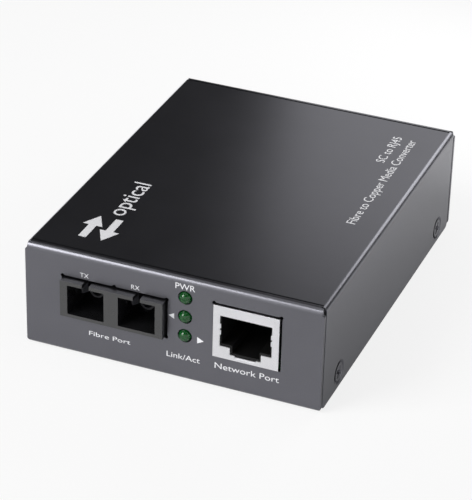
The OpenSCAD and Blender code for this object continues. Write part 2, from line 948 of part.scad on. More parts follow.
module dc_jack_terminals() {
    color(bright_tin)
        for (spot = dc_terminal_spots())
            translate([spot[0], spot[1], pcb_bottom - lead_below])
                translate([-0.6, -0.2, 0])
                    cube([1.2, 0.4, pcb_t + lead_below + 1.5]);
}

// Places of the slide switch's four pins
function dip_pin_spots() = [
    for (x = [-1, 1])
        for (y = [1.2, 3.74])
            [dip_x + x * dip_pitch / 2, dip_face - y - 0.5]
];

// The middle of one slider's slot
function dip_slot_x(hand) = dip_x + hand * dip_pitch / 2;

module dip_switch_body() {
    slot_h = dip_knob_h + dip_travel + 2 * dip_gap;
    room_h = dip_foot_h + dip_travel + 2 * dip_gap;
    color([0.55, 0.08, 0.07])
        difference() {
            box([dip_x - dip_w / 2, dip_face - dip_len, pcb_top], [dip_x + dip_w / 2, dip_face, pcb_top + dip_h]);
            for (hand = [-1, 1])
                translate([dip_slot_x(hand), 0, dip_z]) {
                    box([-dip_knob_w / 2 - dip_gap, dip_face - dip_wall - past, -slot_h / 2],
                        [dip_knob_w / 2 + dip_gap, dip_face + past, slot_h / 2]);
                    box([-dip_foot_w / 2 - dip_gap, dip_face - dip_wall - dip_foot_len - 2 * dip_gap, -room_h / 2],
                        [dip_foot_w / 2 + dip_gap, dip_face - dip_wall, room_h / 2]);
                }
        }
}

// One slider at the lower end of its travel: a foot inside and a knob in the slot
module dip_slider(hand) {
    foot_y = dip_face - dip_wall - dip_gap;
    color("white")
        translate([dip_slot_x(hand), 0, dip_z - dip_travel / 2]) {
            box([-dip_foot_w / 2, foot_y - dip_foot_len, -dip_foot_h / 2], [dip_foot_w / 2, foot_y, dip_foot_h / 2]);
            box([-dip_knob_w / 2, foot_y, -dip_knob_h / 2],
                [dip_knob_w / 2, dip_face + dip_knob_out, dip_knob_h / 2]);
        }
}

module dip_slider_1() {
    dip_slider(-1);
}

module dip_slider_2() {
    dip_slider(1);
}

module dip_switch_pins() {
    color(bright_tin)
        for (spot = dip_pin_spots())
            translate([spot[0], spot[1], pcb_bottom - lead_below])
                cylinder(h = pcb_t + lead_below, r = lead_r);
}

// ---------------------------------------------------------------------------------- board parts

module converter_ic() {
    color(black_plastic)
        translate([ic_x, ic_y, pcb_top + 0.1])
            translate([-ic_w / 2, -ic_w / 2, 0])
                cube([ic_w, ic_w, ic_h]);
}

module converter_ic_leads() {
    color(bright_tin)
        translate([ic_x, ic_y, pcb_top])
            for (turn = [0 : 90 : 270])
                rotate([0, 0, turn])
                    translate([0, ic_w / 2, 0])
                        lead_row(16, 0.8, 0.35, 1, 0.7);
}

module memory_ic() {
    color(black_plastic)
        translate([memory_x, memory_y, pcb_top + 0.1])
            translate([-2.5, -2, 0])
                cube([5, 4, 1.5]);
}

module memory_ic_leads() {
    color(bright_tin)
        translate([memory_x, memory_y, pcb_top])
            for (turn = [0, 180])
                rotate([0, 0, turn])
                    translate([0, 2, 0])
                        lead_row(4, 1.27, 0.42, 1, 0.7);
}

module crystal() {
    color(bright_tin)
        translate([crystal_x, crystal_y, pcb_top]) {
            translate([-3.2, -2.3, 0])
                cube([6.4, 4.6, 3.5]);
            for (side = [-1, 1])
                translate([side * 3.2, 0, 0])
                    cylinder(h = 3.5, r = 2.3);
        }
}

module regulator() {
    color(black_plastic)
        translate([regulator_x, regulator_y, pcb_top + 0.1])
            translate([-3.25, -1.75, 0])
                cube([6.5, 3.5, 1.6]);
}

module regulator_leads() {
    color(bright_tin)
        translate([regulator_x, regulator_y, pcb_top]) {
            translate([0, 1.75, 0])
                lead_row(1, 1, 3, 1.7, 0.8);
            rotate([0, 0, 180])
                translate([0, 1.75, 0])
                    lead_row(3, 2.3, 0.7, 1.7, 0.8);
        }
}

module power_inductor() {
    color([0.2, 0.2, 0.21])
        translate([inductor_x, inductor_y, pcb_top])
            linear_extrude(height = 4.5)
                translate([0, -3.65])
                    round_rect(7.3, 7.3, 1.2);
}

module bulk_capacitors() {
    color(bright_tin)
        for (spot = cap_spots)
            translate([spot[0], spot[1], pcb_top + 0.6])
                cylinder(h = cap_h - 0.6, r = cap_r);
}

module capacitor_bases() {
    color(black_plastic)
        for (spot = cap_spots)
            translate([spot[0] - 3.3, spot[1] - 3.3, pcb_top])
                cube([6.6, 6.6, 0.6]);
}

// Rows of small parts, given as [x, y, turned]
function chip_spots(kind) = kind == 0
    ? [for (i = [0 : 4]) [ic_x - 8 + i * 4, ic_y - 10, 1],
       for (i = [0 : 3]) [ic_x - 11.5, ic_y - 5 + i * 3.2, 0],
       for (i = [0 : 2]) [regulator_x - 3 + i * 3, regulator_y - 5.5, 1]]
    : [for (i = [0 : 4]) [ic_x - 7 + i * 3.4, ic_y + 11, 1],
       for (i = [0 : 3]) [memory_x + 5.6, memory_y + 1 + i * 3, 0],
       for (i = [0 : 2]) [dip_x - 3 + i * 3, dip_face - 10, 1]];

module chips(kind, len, w, h) {
    for (spot = chip_spots(kind))
        translate([spot[0], spot[1], pcb_top])
            rotate([0, 0, spot[2] * 90])
                translate([-len / 2, -w / 2, 0])
                    cube([len, w, h]);
}

module chip_capacitors() {
    color([0.62, 0.5, 0.36])
        chips(0, 1.6, 0.8, 0.8);
}

module chip_resistors() {
    color([0.1, 0.1, 0.12])
        chips(1, 1.6, 0.8, 0.45);
}

module input_fuse() {
    color([0.1, 0.35, 0.2])
        translate([fuse_x, fuse_y, pcb_top])
            translate([-2.25, -1.6, 0])
                cube([4.5, 3.2, 1.2]);
}

module protection_diode() {
    color(black_plastic)
        translate([diode_x, diode_y, pcb_top])
            translate([-2.2, -1.8, 0])
                cube([4.4, 3.6, 2.3]);
}

base_chassis();
top_cover();
case_screws();
pcb_standoffs();
pcb_screws();
main_pcb();
sc_housing();
tx_latch_clip();
rx_latch_clip();
tx_sleeve();
rx_sleeve();
laser_can();
photodiode_can();
transceiver_cover();
transceiver_pcb();
transceiver_pins();
driver_ic();
rj45_shield();
rj45_insulator();
rj45_contacts();
magnetics_module();
magnetics_leads();
led_power();
led_fibre_link();
led_copper_link();
led_leads();
led_spacer();
dc_jack_body();
dc_jack_pin();
dc_jack_spring();
dc_jack_terminals();
dip_switch_body();
dip_slider_1();
dip_slider_2();
dip_switch_pins();
converter_ic();
converter_ic_leads();
memory_ic();
memory_ic_leads();
crystal();
regulator();
regulator_leads();
power_inductor();
bulk_capacitors();
capacitor_bases();
chip_capacitors();
chip_resistors();
input_fuse();
protection_diode();
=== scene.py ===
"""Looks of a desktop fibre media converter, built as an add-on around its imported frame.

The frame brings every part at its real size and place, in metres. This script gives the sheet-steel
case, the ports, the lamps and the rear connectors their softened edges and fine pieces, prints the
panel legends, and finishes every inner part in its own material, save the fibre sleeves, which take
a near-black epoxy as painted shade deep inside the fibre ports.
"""

import math

import bmesh
import bpy
from mathutils import Matrix, Vector
from mathutils.bvhtree import BVHTree


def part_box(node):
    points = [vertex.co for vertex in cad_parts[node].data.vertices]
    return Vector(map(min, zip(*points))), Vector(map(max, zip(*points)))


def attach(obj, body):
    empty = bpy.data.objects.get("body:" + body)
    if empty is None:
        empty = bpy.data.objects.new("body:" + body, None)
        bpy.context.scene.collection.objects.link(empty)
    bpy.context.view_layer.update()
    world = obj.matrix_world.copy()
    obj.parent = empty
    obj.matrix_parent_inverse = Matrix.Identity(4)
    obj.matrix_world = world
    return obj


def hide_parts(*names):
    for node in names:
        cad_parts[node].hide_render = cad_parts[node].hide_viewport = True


bl_info = {
    "name": "Fibre media converter",
    "version": (1, 0, 0),
    "blender": (4, 5, 0),
    "location": "View3D > Sidebar > Converter",
    "description": "Finishes a desktop fibre media converter around its packed frame",
    "category": "Object",
}

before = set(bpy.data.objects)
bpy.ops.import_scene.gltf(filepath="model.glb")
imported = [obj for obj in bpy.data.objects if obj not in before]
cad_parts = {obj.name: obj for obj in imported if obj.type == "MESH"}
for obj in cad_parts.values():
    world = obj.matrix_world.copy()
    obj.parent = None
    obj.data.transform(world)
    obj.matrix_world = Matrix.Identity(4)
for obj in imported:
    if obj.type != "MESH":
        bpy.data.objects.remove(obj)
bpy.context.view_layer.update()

MM = 0.001
WELD = 0.002 * MM
# Slivers left by breaking edges are smaller than this
SPECK = WELD / 20
# Facets that turn by less than this lie in one flat, and edges up to the second are shaded round
FLAT_TURN = math.radians(0.4)
ROUND_TURN = math.radians(40)
# Height of the font's capitals, as a share of the size of the text
CAPITAL = 0.72
CASE_BODY = "case"


# ------------------------------------------------------------------------------------ colours


def linear(code):
    """An sRGB hex colour as linear red, green, blue and full alpha."""
    parts = [int(code[i : i + 2], 16) / 255 for i in (1, 3, 5)]
    return (*[p / 12.92 if p <= 0.04045 else ((p + 0.055) / 1.055) ** 2.4 for p in parts], 1.0)


def shaded(colour, share):
    """A colour made lighter or darker by a share of itself."""
    return (*[min(1.0, max(0.0, c * (1 + share))) for c in colour[:3]], 1.0)


# ------------------------------------------------------------------------------------ materials


def add(tree, kind, sockets=None, **fields):
    """Adds one node, sets its fields, and sets or links each socket named."""
    made = tree.nodes.new(kind)
    for field, value in fields.items():
        setattr(made, field, value)
    for socket, value in (sockets or {}).items():
        if isinstance(value, bpy.types.NodeSocket):
            tree.links.new(value, made.inputs[socket])
        else:
            made.inputs[socket].default_value = value
    return made


def ramp(tree, factor, stops):
    """A colour ramp over the stops given as (place, colour)."""
    made = add(tree, "ShaderNodeValToRGB", {"Fac": factor})
    points = made.color_ramp.elements
    while len(points) < len(stops):
        points.new(0.5)
    for point, (place, colour) in zip(points, stops):
        point.position = place
        point.color = colour
    return made.outputs["Color"]


def grain_noise(tree, grain, stretch=(1, 1, 1), detail=4.0):
    """A noise on the object's own coordinates whose lumps are grain metres across."""
    place = add(tree, "ShaderNodeTexCoord").outputs["Object"]
    scale = [share / grain for share in stretch]
    spread = add(tree, "ShaderNodeMapping", {"Vector": place, "Scale": scale}).outputs["Vector"]
    return add(
        tree, "ShaderNodeTexNoise", {"Vector": spread, "Scale": 1.0, "Detail": detail, "Roughness": 0.55}
    ).outputs["Fac"]


def finish(
    name,
    colour,
    roughness,
    grain,
    relief=0.0,
    tone=0.06,
    gloss=0.06,
    stretch=(1, 1, 1),
    wide=12 * MM,
    pattern=None,
    **shader,
):
    """One material: colour, roughness and relief all drift with a fine grain and a wide, faint cloud.

    grain and wide are sizes in metres, relief is the height of the grain in metres, tone and gloss are
    the shares by which colour and roughness drift. A pattern function may take the colour further.
    """
    made = bpy.data.materials.new(name)
    made.use_nodes = True
    tree = made.node_tree
    tree.nodes.clear()
    fine = grain_noise(tree, grain, stretch)
    cloud = grain_noise(tree, wide, detail=2.0)
    both = add(tree, "ShaderNodeMath", {0: fine, 1: cloud}, operation="ADD").outputs[0]
    half = add(tree, "ShaderNodeMath", {0: both, 1: 0.5}, operation="MULTIPLY").outputs[0]
    low, high = 0.35, 0.65  # the noise seldom leaves this span
    base = ramp(tree, half, [(low, shaded(colour, -tone)), (high, shaded(colour, tone))])
    if pattern:
        base = pattern(tree, base)
    rough = add(
        tree,
        "ShaderNodeMapRange",
        {
            "Value": half,
            "From Min": low,
            "From Max": high,
            "To Min": roughness - gloss,
            "To Max": roughness + gloss,
        },
    ).outputs["Result"]
    sockets = {"Base Color": base, "Roughness": rough}
    if relief:
        bump = add(tree, "ShaderNodeBump", {"Height": fine, "Distance": relief})
        sockets["Normal"] = bump.outputs["Normal"]
    for socket, value in shader.items():
        sockets[socket.replace("_", " ").title().replace("Ior", "IOR")] = value
    principled = add(tree, "ShaderNodeBsdfPrincipled", sockets)
    add(tree, "ShaderNodeOutputMaterial", {"Surface": principled.outputs["BSDF"]})
    return made


def track_pattern(tree, base):
    """Copper tracks under solder mask: ruled bundles that turn between the two directions of the board."""
    place = add(tree, "ShaderNodeTexCoord").outputs["Object"]
    pitch = 1.1 * MM
    crest = 0.72  # copper shows where the wave stands above this
    bundle = 7 * MM
    wave_scale = 6.2832 / (20 * pitch)  # at scale 1 the wave runs through 20 radians a metre
    rows = [
        add(
            tree,
            "ShaderNodeTexWave",
            {"Vector": place, "Scale": wave_scale, "Distortion": 0.0},
            bands_direction=way,
        ).outputs["Fac"]
        for way in ("X", "Y")
    ]
    cells = add(tree, "ShaderNodeTexVoronoi", {"Vector": place, "Scale": 1 / bundle}).outputs["Color"]
    turn = add(tree, "ShaderNodeSeparateColor", {"Color": cells}).outputs[0]
    way = add(tree, "ShaderNodeMath", {0: turn, 1: 0.5}, operation="GREATER_THAN").outputs[0]
    lines = add(tree, "ShaderNodeMix", {0: way, 2: rows[0], 3: rows[1]}, data_type="FLOAT").outputs[0]
    copper = add(tree, "ShaderNodeMath", {0: lines, 1: crest}, operation="GREATER_THAN").outputs[0]
    mixed = add(tree, "ShaderNodeMix", {0: copper, 6: base, 7: linear("#1b7a43")}, data_type="RGBA")
    return mixed.outputs[2]


def make_coated_steel(settings):
    # Mild steel sheet under a baked, fine-textured metallic paint: satin, with a faint orange peel
    return finish(
        "coated_steel", settings.paint, settings.paint_roughness, 0.35 * MM, 0.003 * MM, 0.04, 0.012,
        metallic=0.95,
    )


def make_painted_screw(settings):
    # The same paint on a steel screw, thinner and a little glossier
    return finish(
        "painted_screw", shaded(settings.paint, -0.1), 0.34, 0.3 * MM, 0.004 * MM, 0.1, 0.06, metallic=0.95
    )


def make_moulded_black(settings):
    # Glass-filled polyester from a lightly sparked mould: deep grey with a soft sheen
    return finish(
        "moulded_polyester", settings.plastic, 0.3, 0.22 * MM, 0.004 * MM, 0.12, 0.05,
        ior=1.6, specular_ior_level=1.0,
    )


def make_jack_moulding():
    # Nylon insulator of the network jack: matt black, darkened further to near black as painted shade deep
    # inside the jack mouth
    return finish(
        "moulded_nylon", linear("#0b0b0c"), 0.5, 0.2 * MM, 0.003 * MM, 0.1, 0.05, specular_ior_level=0.3
    )


def make_nickel_shield(settings):
    # Nickel-plated brass strip, rolled along the jack: bright, with faint lines
    return finish(
        "nickel_plated_brass", settings.shield, 0.28, 0.12 * MM, 0.0012 * MM, 0.05, 0.06, (1, 1, 6),
        metallic=1.0,
    )


def make_green_epoxy():
    # Green-tinted clear epoxy cast in a polished mould: glassy
    return finish(
        "tinted_epoxy",
        linear("#0d6625"),
        0.03,
        0.6 * MM,
        0.0,
        0.08,
        0.02,
        ior=1.54,
        transmission_weight=0.55,
    )


def make_silk_ink(settings):
    # White screen-printing ink: flat, slightly rough from the mesh
    return finish("screen_ink", settings.ink, 0.5, 0.18 * MM, 0.002 * MM, 0.03, 0.05)


def inner_finishes():
    """The record's slots for parts that keep their CAD shape, each with its material and its nodes."""
    lead = dict(metallic=1.0)
    return {
        # Zinc-plated steel: bluish bright metal with a light spangle
        "zinc_steel": (
            finish("zinc_plate", linear("#b4b8bf"), 0.32, 0.5 * MM, 0.002 * MM, 0.08, 0.08, **lead),
            ("pcb_standoffs", "pcb_screws"),
        ),
        # Glass-epoxy board under glossy green solder mask, with the copper showing as a lighter green
        "board_laminate": (
            finish(
                "solder_mask",
                linear("#0e5a2c"),
                0.3,
                0.25 * MM,
                0.003 * MM,
                0.08,
                0.05,
                pattern=track_pattern,
                ior=1.5,
            ),
            ("main_pcb", "transceiver_pcb"),
        ),
        # Transfer-moulded epoxy of chip packages: matt, near black
        "black_plastic": (
            finish("chip_epoxy", linear("#232327"), 0.62, 0.1 * MM, 0.002 * MM, 0.1, 0.05, ior=1.5),
            (
                # The fibre sleeves take this near-black epoxy in place of their own pale ceramic: painted
                # shade deep inside the fibre ports
                "tx_sleeve",
                "rx_sleeve",
                "driver_ic",
                "converter_ic",
                "memory_ic",
                "regulator",
                "magnetics_module",
                "led_spacer",
                "capacitor_bases",
                "protection_diode",
            ),
        ),
        # Polyetherimide, moulded dark grey: smooth and springy
        "grey_plastic": (
            finish("moulded_polyimide", linear("#3c3c41"), 0.4, 0.2 * MM, 0.003 * MM, 0.08, 0.05, ior=1.6),
            ("tx_latch_clip", "rx_latch_clip"),
        ),
        # Gold flash on phosphor bronze and kovar: warm and bright
        "gold_contact": (
            finish("gold_flash", linear("#d8ab52"), 0.22, 0.1 * MM, 0.001 * MM, 0.06, 0.06, **lead),
            ("rj45_contacts", "transceiver_pins", "laser_can"),
        ),
        # Matt tin on copper leads: pale grey, slightly frosted
        "tinned_lead": (
            finish("tin_plate", linear("#c3c6ca"), 0.36, 0.15 * MM, 0.002 * MM, 0.08, 0.08, **lead),
            (
                "photodiode_can",
                "transceiver_cover",
                "magnetics_leads",
                "led_leads",
                "dc_jack_spring",
                "dc_jack_terminals",
                "dip_switch_pins",
                "converter_ic_leads",
                "memory_ic_leads",
                "regulator_leads",
                "crystal",
            ),
        ),
        # Drawn aluminium can of an electrolytic capacitor: soft vertical draw lines
        "aluminium_can": (
            finish(
                "drawn_aluminium", linear("#cfd1d4"), 0.28, 0.1 * MM, 0.001 * MM, 0.05, 0.06, (5, 5, 1),
                **lead,
            ),
            ("bulk_capacitors",),
        ),
        # Pressed and fired ferrite: charcoal with a powdery grain
        "ferrite": (
            finish("fired_ferrite", linear("#2e2e31"), 0.74, 0.12 * MM, 0.006 * MM, 0.16, 0.06),
            ("power_inductor", "chip_resistors", "input_fuse"),
        ),
        # Barium titanate ceramic of chip capacitors: tan and chalky
        "tan_ceramic": (
            finish("capacitor_ceramic", linear("#a58763"), 0.55, 0.15 * MM, 0.003 * MM, 0.08, 0.05),
            ("chip_capacitors",),
        ),
    }


# ------------------------------------------------------------------------------------ modelling


def focus(piece):
    """Makes a piece the only selected and the active one."""
    bpy.ops.object.select_all(action="DESELECT")
    piece.select_set(True)
    bpy.context.view_layer.objects.active = piece


def pick(piece, test, kind="faces"):
    """In edit mode, selects only the faces, edges or vertices that pass the test."""
    bpy.ops.mesh.select_mode(type={"faces": "FACE", "edges": "EDGE", "verts": "VERT"}[kind])
    bpy.ops.mesh.select_all(action="DESELECT")
    shape = bmesh.from_edit_mesh(piece.data)
    for part in getattr(shape, kind):
        if test(part):
            part.select_set(True)
    shape.select_flush_mode()
    bmesh.update_edit_mesh(piece.data)


def skin_of(mesh):
    """The surface of a mesh, to measure distances from."""
    mesh.calc_loop_triangles()
    return BVHTree.FromPolygons([v.co for v in mesh.vertices], [t.vertices for t in mesh.loop_triangles])


def stray_spots(piece, skin, reach):
    """Corners of the piece, with its live modifiers, where it stands further than reach off the skin."""
    seen = piece.evaluated_get(bpy.context.evaluated_depsgraph_get()).data
    seen.calc_loop_triangles()
    corners = [v.co.copy() for v in seen.vertices]
    strays = []
    for corner in corners:
        hit = skin.find_nearest(corner)
        if hit[3] > reach:
            strays += [hit[0], corner]
    for triangle in seen.loop_triangles:
        ends = [corners[i] for i in triangle.vertices]
        if skin.find_nearest(sum(ends, Vector()) / 3)[3] > reach:
            strays += ends
    return strays


def soften(piece, width, segments=2, angle=35.0, skin=None):
    """Breaks a piece's sharp edges by width and shades it so that its flats stay flat.

    An edge is left sharp where breaking it would throw a corner or a face off the part's skin.
    """
    focus(piece)
    skin = skin or skin_of(piece.data)
    shape = bmesh.new()
    shape.from_mesh(piece.data)
    weight = shape.edges.layers.float.new("bevel_weight_edge")
    for edge in shape.edges:
        edge[weight] = float(edge.calc_face_angle(0) > math.radians(angle))
    shape.to_mesh(piece.data)
    bevel = piece.modifiers.new("Broken edge", "BEVEL")
    bevel.limit_method = "WEIGHT"
    bevel.width = width
    bevel.segments = segments
    bevel.use_clamp_overlap = False
    bevel.miter_outer = "MITER_ARC"
    # A sound bevel stays within this of the skin; each round clears a wider ring round what strays
    reach = 0.7 * width
    for guard in (4, 8, 16, 32):
        strays = stray_spots(piece, skin, reach)
        if not strays:
            break
        for edge in shape.edges:
            ends = [v.co for v in edge.verts]
            if any((end - spot).length < guard * width for end in ends for spot in strays):
                edge[weight] = 0.0
        shape.to_mesh(piece.data)
    shape.free()
    bpy.ops.object.modifier_apply(modifier=bevel.name)
    bpy.ops.object.mode_set(mode="EDIT")
    bpy.ops.mesh.select_all(action="SELECT")
    bpy.ops.mesh.remove_doubles(threshold=SPECK)
    bpy.ops.mesh.dissolve_degenerate(threshold=SPECK)
    bpy.ops.object.mode_set(mode="OBJECT")
    bpy.ops.object.shade_smooth_by_angle(angle=ROUND_TURN)
    even = piece.modifiers.new("Flat faces", "WEIGHTED_NORMAL")
    even.keep_sharp = True
    bpy.ops.object.modifier_apply(modifier=even.name)


def welded_copy(node, name):
    """A copy of a CAD node's mesh with its loose triangles welded and its flats made whole."""
    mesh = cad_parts[node].data.copy()
    mesh.name = name
    mesh.materials.clear()
    piece = bpy.data.objects.new(name, mesh)
    bpy.context.scene.collection.objects.link(piece)
    focus(piece)
    bpy.ops.object.mode_set(mode="EDIT")
    bpy.ops.mesh.select_all(action="SELECT")
    bpy.ops.mesh.customdata_custom_splitnormals_clear()
    bpy.ops.mesh.remove_doubles(threshold=WELD)
    bpy.ops.mesh.dissolve_limited(angle_limit=FLAT_TURN)
    bpy.ops.object.mode_set(mode="OBJECT")
    return piece


def seat(piece, material, body=CASE_BODY, node=None):
    """Gives a finished piece its material and its body, and the node that it stands for."""
    piece.data.materials.clear()
    piece.data.materials.append(material)
    focus(piece)
    bpy.ops.object.transform_apply(location=True, rotation=True, scale=True)
    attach(piece, body)
    if node:
        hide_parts(node)
    return piece


def soft_node(node, name, width, material, body=CASE_BODY):
    """A CAD node carried over with its edges broken."""
    piece = welded_copy(node, name)
    soften(piece, width, skin=skin_of(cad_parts[node].data))
    return seat(piece, material, body, node)


def block(name, low, high, width):
    """A box from corner to corner with its edges broken by width."""
    low, high = Vector(low), Vector(high)
    bpy.ops.mesh.primitive_cube_add(size=1, location=(low + high) / 2, scale=high - low)
    piece = bpy.context.active_object
    piece.name = piece.data.name = name
    bpy.ops.object.transform_apply(location=True, rotation=True, scale=True)
    soften(piece, width)
    return piece


# ------------------------------------------------------------------------------------ settings


class ConverterCase(bpy.types.PropertyGroup):
    """Paint and edges of the sheet-steel case."""

    paint: bpy.props.FloatVectorProperty(
        name="Paint", description="Colour of the case's paint", subtype="COLOR", size=4, min=0, max=1,
        default=linear("#737379"),
    )
    paint_roughness: bpy.props.FloatProperty(
        name="Paint roughness", description="How satin the paint is", default=0.31, min=0.1, max=0.9
    )
    sheet_edge: bpy.props.FloatProperty(
        name="Sheet edge", description="Width of the broken edge of the punched sheet", default=0.12 * MM,
        min=0, unit="LENGTH", subtype="DISTANCE",
    )
    screw_edge: bpy.props.FloatProperty(
        name="Screw edge", description="Width of the broken edge of the screw heads", default=0.06 * MM,
        min=0, unit="LENGTH", subtype="DISTANCE",
    )


class ConverterPorts(bpy.types.PropertyGroup):
    """Mouldings and shield of the ports and the rear connectors."""

    plastic: bpy.props.FloatVectorProperty(
        name="Plastic", description="Colour of the black mouldings", subtype="COLOR", size=4, min=0, max=1,
        default=linear("#0f0f11"),
    )
    shield: bpy.props.FloatVectorProperty(
        name="Shield", description="Colour of the network jack's plating",
        subtype="COLOR", size=4, min=0, max=1,
        default=linear("#f2f2f5"),
    )
    moulded_edge: bpy.props.FloatProperty(
        name="Moulded edge", description="Width of the mouldings' broken edges", default=0.1 * MM,
        min=0, unit="LENGTH", subtype="DISTANCE",
    )
    strip_edge: bpy.props.FloatProperty(
        name="Strip edge", description="Width of the broken edges of thin metal strip", default=0.05 * MM,
        min=0, unit="LENGTH", subtype="DISTANCE",
    )


class ConverterPrint(bpy.types.PropertyGroup):
    """Ink and legends."""

    ink: bpy.props.FloatVectorProperty(
        name="Ink", description="Colour of the printed legends", subtype="COLOR", size=4, min=0, max=1,
        default=linear("#f0f0f3"),
    )
    ink_thickness: bpy.props.FloatProperty(
        name="Ink thickness", description="How far the ink stands on the paint", default=0.02 * MM,
        min=0.005 * MM, unit="LENGTH", subtype="DISTANCE",
    )
    small_cap: bpy.props.FloatProperty(
        name="Small letters", description="Height of a capital on the front panel", default=1.2 * MM,
        min=0.5 * MM, unit="LENGTH", subtype="DISTANCE",
    )


class ConverterStudio(bpy.types.PropertyGroup):
    """Camera and lamps."""

    azimuth: bpy.props.FloatProperty(
        name="Azimuth", description="Camera's turn to the right of the front", default=math.radians(21.42),
        subtype="ANGLE", unit="ROTATION",
    )
    elevation: bpy.props.FloatProperty(
        name="Elevation", description="Camera's angle above the floor", default=math.radians(30.32),
        subtype="ANGLE", unit="ROTATION",
    )
    roll: bpy.props.FloatProperty(
        name="Roll", description="Camera's turn about its own axis", default=math.radians(1.54),
        subtype="ANGLE", unit="ROTATION",
    )
    distance: bpy.props.FloatProperty(
        name="Distance", description="Camera's distance from the point it aims at", default=555.8 * MM,
        min=0.1, unit="LENGTH", subtype="DISTANCE",
    )
    aim: bpy.props.FloatVectorProperty(
        name="Aim", description="Point the camera aims at", default=(0.4 * MM, -9.3 * MM, 13.5 * MM),
        subtype="TRANSLATION", unit="LENGTH",
    )
    lens: bpy.props.FloatProperty(
        name="Lens", description="Focal length in millimetres", default=167.5, min=10
    )
    key_power: bpy.props.FloatProperty(
        name="Key power", description="Power of the large soft lamp at the front left", default=7.4, min=0,
        unit="POWER",
    )
    top_power: bpy.props.FloatProperty(
        name="Top power", description="Power of the wide lamp overhead", default=3.4, min=0, unit="POWER"
    )
    card_power: bpy.props.FloatProperty(
        name="Card power", description="Power of the low card behind the object",
        default=0.036, min=0, unit="POWER",
    )
    edge_power: bpy.props.FloatProperty(
        name="Edge power", description="Power of the low card at the rear right",
        default=0.06, min=0, unit="POWER",
    )


# ------------------------------------------------------------------------------------ pieces


class CONVERTER_OT_case(bpy.types.Operator):
    """Makes the bent chassis and the top cover in painted sheet steel."""

    bl_idname = "converter.case"
    bl_label = "Case"

    def execute(self, context):
        case = context.scene.converter_case
        paint = make_coated_steel(case)
        for node, name in (("base_chassis", "chassis_sheet"), ("top_cover", "cover_sheet")):
            soft_node(node, name, case.sheet_edge, paint)
        return {"FINISHED"}


class CONVERTER_OT_case_screws(bpy.types.Operator):
    """Makes the four countersunk screws, each its own piece."""

    bl_idname = "converter.case_screws"
    bl_label = "Case screws"

    def execute(self, context):
        case = context.scene.converter_case
        paint = make_painted_screw(case)
        skin = skin_of(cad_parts["case_screws"].data)
        welded_copy("case_screws", "case_screw")
        bpy.ops.object.mode_set(mode="EDIT")
        bpy.ops.mesh.select_all(action="SELECT")
        bpy.ops.mesh.separate(type="LOOSE")
        bpy.ops.object.mode_set(mode="OBJECT")
        screws = [o for o in context.selected_objects if o.type == "MESH"]
        for screw in screws:
            middle = sum((Vector(c) for c in screw.bound_box), Vector()) / 8
            ends = ("rear" if middle.y > 0 else "front", "right" if middle.x > 0 else "left")
            screw.name = screw.data.name = "case_screw_" + "_".join(ends)
            soften(screw, case.screw_edge, skin=skin)
            seat(screw, paint, node="case_screws")
        return {"FINISHED"}


class CONVERTER_OT_fibre_port(bpy.types.Operator):
    """Makes the duplex fibre housing with softened mouths."""

    bl_idname = "converter.fibre_port"
    bl_label = "Fibre port"

    def execute(self, context):
        ports = context.scene.converter_ports
        plastic = make_moulded_black(ports)
        soft_node("sc_housing", "fibre_port_housing", ports.moulded_edge, plastic)
        return {"FINISHED"}


class CONVERTER_OT_network_jack(bpy.types.Operator):
    """Makes the plated shield with its side springs and latch tab, and the moulded insulator."""

    bl_idname = "converter.network_jack"
    bl_label = "Network jack"

    def execute(self, context):
        ports = context.scene.converter_ports
        plating = make_nickel_shield(ports)
        plastic = make_jack_moulding()
        soft_node("rj45_shield", "jack_shield", ports.strip_edge, plating)
        soft_node("rj45_insulator", "jack_insulator", ports.moulded_edge, plastic)
        low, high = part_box("rj45_shield")
        middle = (low.x + high.x) / 2
        skin = 0.3 * MM
        mouth = 12.5 * MM
        board_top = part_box("main_pcb")[1].z
        spring_z = board_top + 7.6 * MM
        for side, word in ((-1, "left"), (1, "right")):
            edge = middle + side * mouth / 2
            ends = sorted((edge + side * 0.05 * MM, edge - side * 0.28 * MM))
            for place, rise in (("upper", 0.75 * MM), ("lower", -0.95 * MM)):
                leaf = block(
                    f"jack_spring_{word}_{place}",
                    (ends[0], low.y + 0.02 * MM, spring_z + rise - 0.6 * MM),
                    (ends[1], low.y + skin - 0.02 * MM, spring_z + rise + 0.6 * MM),
                    0.1 * MM,
                )
                seat(leaf, plating)
        tab = block(
            "jack_latch_tab",
            (middle - 2.5 * MM, low.y + 0.06 * MM, board_top + 0.62 * MM),
            (middle + 2.5 * MM, low.y + skin - 0.02 * MM, board_top + 1.0 * MM),
            0.05 * MM,
        )
        seat(tab, plating)
        return {"FINISHED"}


